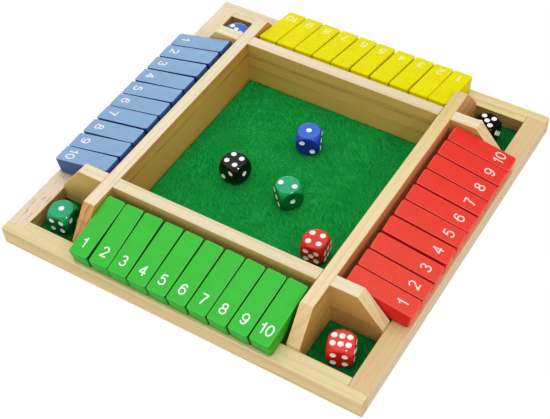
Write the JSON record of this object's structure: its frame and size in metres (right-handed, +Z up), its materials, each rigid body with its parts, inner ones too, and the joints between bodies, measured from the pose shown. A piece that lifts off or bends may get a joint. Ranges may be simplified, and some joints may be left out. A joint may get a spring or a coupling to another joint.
{
  "type": "shut the box game",
  "caption": "Square wooden dice game: a walled felt arena with dice wells in the corners, and rows of numbered tiles on steel rods that flip up against the arena walls.",
  "frame": {"origin": "centre of the underside", "axes": "+X to the right along the front rail (the green row's), +Y to the back, +Z up"},
  "size_m": [0.3006, 0.3006, 0.042],
  "materials": {
    "pine": "clear satin",
    "felt": "matt felt",
    "steel": "plain",
    "green_tile": "semi-matt paint",
    "red_tile": "semi-matt paint",
    "yellow_tile": "semi-matt paint",
    "blue_tile": "semi-matt paint",
    "black_die": "gloss",
    "green_die": "gloss",
    "blue_die": "gloss",
    "red_die": "gloss"
  },
  "bodies": {
    "board": {"base_board": "pine", "felt": "felt", "rail_front": "pine", "rail_back": "pine", "rail_left": "pine", "rail_right": "pine", "divider_left": "pine", "divider_right": "pine", "cross_wall_front": "pine", "cross_wall_back": "pine", "well_cheeks": "pine", "pivot_rods": "steel"},
    "green_tile_1": {"green_tile_1": "green_tile"},
    "green_tile_2": {"green_tile_2": "green_tile"},
    "green_tile_3": {"green_tile_3": "green_tile"},
    "green_tile_4": {"green_tile_4": "green_tile"},
    "green_tile_5": {"green_tile_5": "green_tile"},
    "green_tile_6": {"green_tile_6": "green_tile"},
    "green_tile_7": {"green_tile_7": "green_tile"},
    "green_tile_8": {"green_tile_8": "green_tile"},
    "green_tile_9": {"green_tile_9": "green_tile"},
    "green_tile_10": {"green_tile_10": "green_tile"},
    "red_tile_1": {"red_tile_1": "red_tile"},
    "red_tile_2": {"red_tile_2": "red_tile"},
    "red_tile_3": {"red_tile_3": "red_tile"},
    "red_tile_4": {"red_tile_4": "red_tile"},
    "red_tile_5": {"red_tile_5": "red_tile"},
    "red_tile_6": {"red_tile_6": "red_tile"},
    "red_tile_7": {"red_tile_7": "red_tile"},
    "red_tile_8": {"red_tile_8": "red_tile"},
    "red_tile_9": {"red_tile_9": "red_tile"},
    "red_tile_10": {"red_tile_10": "red_tile"},
    "yellow_tile_1": {"yellow_tile_1": "yellow_tile"},
    "yellow_tile_2": {"yellow_tile_2": "yellow_tile"},
    "yellow_tile_3": {"yellow_tile_3": "yellow_tile"},
    "yellow_tile_4": {"yellow_tile_4": "yellow_tile"},
    "yellow_tile_5": {"yellow_tile_5": "yellow_tile"},
    "yellow_tile_6": {"yellow_tile_6": "yellow_tile"},
    "yellow_tile_7": {"yellow_tile_7": "yellow_tile"},
    "yellow_tile_8": {"yellow_tile_8": "yellow_tile"},
    "yellow_tile_9": {"yellow_tile_9": "yellow_tile"},
    "yellow_tile_10": {"yellow_tile_10": "yellow_tile"},
    "blue_tile_1": {"blue_tile_1": "blue_tile"},
    "blue_tile_2": {"blue_tile_2": "blue_tile"},
    "blue_tile_3": {"blue_tile_3": "blue_tile"},
    "blue_tile_4": {"blue_tile_4": "blue_tile"},
    "blue_tile_5": {"blue_tile_5": "blue_tile"},
    "blue_tile_6": {"blue_tile_6": "blue_tile"},
    "blue_tile_7": {"blue_tile_7": "blue_tile"},
    "blue_tile_8": {"blue_tile_8": "blue_tile"},
    "blue_tile_9": {"blue_tile_9": "blue_tile"},
    "blue_tile_10": {"blue_tile_10": "blue_tile"},
    "die_black_arena": {"die_black_arena": "black_die"},
    "die_green_arena": {"die_green_arena": "green_die"},
    "die_blue_arena": {"die_blue_arena": "blue_die"},
    "die_red_arena": {"die_red_arena": "red_die"},
    "die_green_well": {"die_green_well": "green_die"},
    "die_red_well": {"die_red_well": "red_die"},
    "die_black_well": {"die_black_well": "black_die"},
    "die_blue_well": {"die_blue_well": "blue_die"}
  },
  "joints": [
    {"name": "green_tile_1_hinge", "type": "hinge", "parent": "board", "child": "green_tile_1", "pos_m": [-0.0767, -0.11, 0.0304], "axis": [-1, 0, 0], "range_deg": [0, 134.2]},
    {"name": "green_tile_2_hinge", "type": "hinge", "parent": "board", "child": "green_tile_2", "pos_m": [-0.0602, -0.11, 0.0304], "axis": [-1, 0, 0], "range_deg": [0, 134.2]},
    {"name": "green_tile_3_hinge", "type": "hinge", "parent": "board", "child": "green_tile_3", "pos_m": [-0.0435, -0.11, 0.0304], "axis": [-1, 0, 0], "range_deg": [0, 134.2]},
    {"name": "green_tile_4_hinge", "type": "hinge", "parent": "board", "child": "green_tile_4", "pos_m": [-0.0262, -0.11, 0.0304], "axis": [-1, 0, 0], "range_deg": [0, 134.2]},
    {"name": "green_tile_5_hinge", "type": "hinge", "parent": "board", "child": "green_tile_5", "pos_m": [-0.0093, -0.11, 0.0304], "axis": [-1, 0, 0], "range_deg": [0, 134.2]},
    {"name": "green_tile_6_hinge", "type": "hinge", "parent": "board", "child": "green_tile_6", "pos_m": [0.0076, -0.11, 0.0304], "axis": [-1, 0, 0], "range_deg": [0, 134.2]},
    {"name": "green_tile_7_hinge", "type": "hinge", "parent": "board", "child": "green_tile_7", "pos_m": [0.0245, -0.11, 0.0304], "axis": [-1, 0, 0], "range_deg": [0, 134.2]},
    {"name": "green_tile_8_hinge", "type": "hinge", "parent": "board", "child": "green_tile_8", "pos_m": [0.0412, -0.11, 0.0304], "axis": [-1, 0, 0], "range_deg": [0, 134.2]},
    {"name": "green_tile_9_hinge", "type": "hinge", "parent": "board", "child": "green_tile_9", "pos_m": [0.0577, -0.11, 0.0304], "axis": [-1, 0, 0], "range_deg": [0, 134.2]},
    {"name": "green_tile_10_hinge", "type": "hinge", "parent": "board", "child": "green_tile_10", "pos_m": [0.0744, -0.11, 0.0304], "axis": [-1, 0, 0], "range_deg": [0, 134.2]},
    {"name": "red_tile_1_hinge", "type": "hinge", "parent": "board", "child": "red_tile_1", "pos_m": [0.11, -0.0764, 0.0304], "axis": [0, -1, 0], "range_deg": [0, 134.2]},
    {"name": "red_tile_2_hinge", "type": "hinge", "parent": "board", "child": "red_tile_2", "pos_m": [0.11, -0.0601, 0.0304], "axis": [0, -1, 0], "range_deg": [0, 134.2]},
    {"name": "red_tile_3_hinge", "type": "hinge", "parent": "board", "child": "red_tile_3", "pos_m": [0.11, -0.043, 0.0304], "axis": [0, -1, 0], "range_deg": [0, 134.2]},
    {"name": "red_tile_4_hinge", "type": "hinge", "parent": "board", "child": "red_tile_4", "pos_m": [0.11, -0.0252, 0.0304], "axis": [0, -1, 0], "range_deg": [0, 134.2]},
    {"name": "red_tile_5_hinge", "type": "hinge", "parent": "board", "child": "red_tile_5", "pos_m": [0.11, -0.008, 0.0304], "axis": [0, -1, 0], "range_deg": [0, 134.2]},
    {"name": "red_tile_6_hinge", "type": "hinge", "parent": "board", "child": "red_tile_6", "pos_m": [0.11, 0.0086, 0.0304], "axis": [0, -1, 0], "range_deg": [0, 134.2]},
    {"name": "red_tile_7_hinge", "type": "hinge", "parent": "board", "child": "red_tile_7", "pos_m": [0.11, 0.0258, 0.0304], "axis": [0, -1, 0], "range_deg": [0, 134.2]},
    {"name": "red_tile_8_hinge", "type": "hinge", "parent": "board", "child": "red_tile_8", "pos_m": [0.11, 0.0426, 0.0304], "axis": [0, -1, 0], "range_deg": [0, 134.2]},
    {"name": "red_tile_9_hinge", "type": "hinge", "parent": "board", "child": "red_tile_9", "pos_m": [0.11, 0.0594, 0.0304], "axis": [0, -1, 0], "range_deg": [0, 134.2]},
    {"name": "red_tile_10_hinge", "type": "hinge", "parent": "board", "child": "red_tile_10", "pos_m": [0.11, 0.076, 0.0304], "axis": [0, -1, 0], "range_deg": [0, 134.2]},
    {"name": "yellow_tile_1_hinge", "type": "hinge", "parent": "board", "child": "yellow_tile_1", "pos_m": [0.076, 0.11, 0.0304], "axis": [1, 0, 0], "range_deg": [0, 134.2]},
    {"name": "yellow_tile_2_hinge", "type": "hinge", "parent": "board", "child": "yellow_tile_2", "pos_m": [0.0597, 0.11, 0.0304], "axis": [1, 0, 0], "range_deg": [0, 134.2]},
    {"name": "yellow_tile_3_hinge", "type": "hinge", "parent": "board", "child": "yellow_tile_3", "pos_m": [0.0428, 0.11, 0.0304], "axis": [1, 0, 0], "range_deg": [0, 134.2]},
    {"name": "yellow_tile_4_hinge", "type": "hinge", "parent": "board", "child": "yellow_tile_4", "pos_m": [0.0259, 0.11, 0.0304], "axis": [1, 0, 0], "range_deg": [0, 134.2]},
    {"name": "yellow_tile_5_hinge", "type": "hinge", "parent": "board", "child": "yellow_tile_5", "pos_m": [0.0084, 0.11, 0.0304], "axis": [1, 0, 0], "range_deg": [0, 134.2]},
    {"name": "yellow_tile_6_hinge", "type": "hinge", "parent": "board", "child": "yellow_tile_6", "pos_m": [-0.009, 0.11, 0.0304], "axis": [1, 0, 0], "range_deg": [0, 134.2]},
    {"name": "yellow_tile_7_hinge", "type": "hinge", "parent": "board", "child": "yellow_tile_7", "pos_m": [-0.026, 0.11, 0.0304], "axis": [1, 0, 0], "range_deg": [0, 134.2]},
    {"name": "yellow_tile_8_hinge", "type": "hinge", "parent": "board", "child": "yellow_tile_8", "pos_m": [-0.0429, 0.11, 0.0304], "axis": [1, 0, 0], "range_deg": [0, 134.2]},
    {"name": "yellow_tile_9_hinge", "type": "hinge", "parent": "board", "child": "yellow_tile_9", "pos_m": [-0.0595, 0.11, 0.0304], "axis": [1, 0, 0], "range_deg": [0, 134.2]},
    {"name": "yellow_tile_10_hinge", "type": "hinge", "parent": "board", "child": "yellow_tile_10", "pos_m": [-0.076, 0.11, 0.0304], "axis": [1, 0, 0], "range_deg": [0, 134.2]},
    {"name": "blue_tile_1_hinge", "type": "hinge", "parent": "board", "child": "blue_tile_1", "pos_m": [-0.11, 0.076, 0.0304], "axis": [0, 1, 0], "range_deg": [0, 134.2]},
    {"name": "blue_tile_2_hinge", "type": "hinge", "parent": "board", "child": "blue_tile_2", "pos_m": [-0.11, 0.0597, 0.0304], "axis": [0, 1, 0], "range_deg": [0, 134.2]},
    {"name": "blue_tile_3_hinge", "type": "hinge", "parent": "board", "child": "blue_tile_3", "pos_m": [-0.11, 0.0425, 0.0304], "axis": [0, 1, 0], "range_deg": [0, 134.2]},
    {"name": "blue_tile_4_hinge", "type": "hinge", "parent": "board", "child": "blue_tile_4", "pos_m": [-0.11, 0.0251, 0.0304], "axis": [0, 1, 0], "range_deg": [0, 134.2]},
    {"name": "blue_tile_5_hinge", "type": "hinge", "parent": "board", "child": "blue_tile_5", "pos_m": [-0.11, 0.0087, 0.0304], "axis": [0, 1, 0], "range_deg": [0, 134.2]},
    {"name": "blue_tile_6_hinge", "type": "hinge", "parent": "board", "child": "blue_tile_6", "pos_m": [-0.11, -0.0084, 0.0304], "axis": [0, 1, 0], "range_deg": [0, 134.2]},
    {"name": "blue_tile_7_hinge", "type": "hinge", "parent": "board", "child": "blue_tile_7", "pos_m": [-0.11, -0.0245, 0.0304], "axis": [0, 1, 0], "range_deg": [0, 134.2]},
    {"name": "blue_tile_8_hinge", "type": "hinge", "parent": "board", "child": "blue_tile_8", "pos_m": [-0.11, -0.0419, 0.0304], "axis": [0, 1, 0], "range_deg": [0, 134.2]},
    {"name": "blue_tile_9_hinge", "type": "hinge", "parent": "board", "child": "blue_tile_9", "pos_m": [-0.11, -0.0584, 0.0304], "axis": [0, 1, 0], "range_deg": [0, 134.2]},
    {"name": "blue_tile_10_hinge", "type": "hinge", "parent": "board", "child": "blue_tile_10", "pos_m": [-0.11, -0.0752, 0.0304], "axis": [0, 1, 0], "range_deg": [0, 134.2]},
    {"name": "die_black_arena_lift", "type": "slide", "parent": "board", "child": "die_black_arena", "axis": [0, 0, 1], "range_m": [0, 0.1]},
    {"name": "die_green_arena_lift", "type": "slide", "parent": "board", "child": "die_green_arena", "axis": [0, 0, 1], "range_m": [0, 0.1]},
    {"name": "die_blue_arena_lift", "type": "slide", "parent": "board", "child": "die_blue_arena", "axis": [0, 0, 1], "range_m": [0, 0.1]},
    {"name": "die_red_arena_lift", "type": "slide", "parent": "board", "child": "die_red_arena", "axis": [0, 0, 1], "range_m": [0, 0.1]},
    {"name": "die_green_well_lift", "type": "slide", "parent": "board", "child": "die_green_well", "axis": [0, 0, 1], "range_m": [0, 0.1]},
    {"name": "die_red_well_lift", "type": "slide", "parent": "board", "child": "die_red_well", "axis": [0, 0, 1], "range_m": [0, 0.1]},
    {"name": "die_black_well_lift", "type": "slide", "parent": "board", "child": "die_black_well", "axis": [0, 0, 1], "range_m": [0, 0.1]},
    {"name": "die_blue_well_lift", "type": "slide", "parent": "board", "child": "die_blue_well", "axis": [0, 0, 1], "range_m": [0, 0.1]}
  ]
}
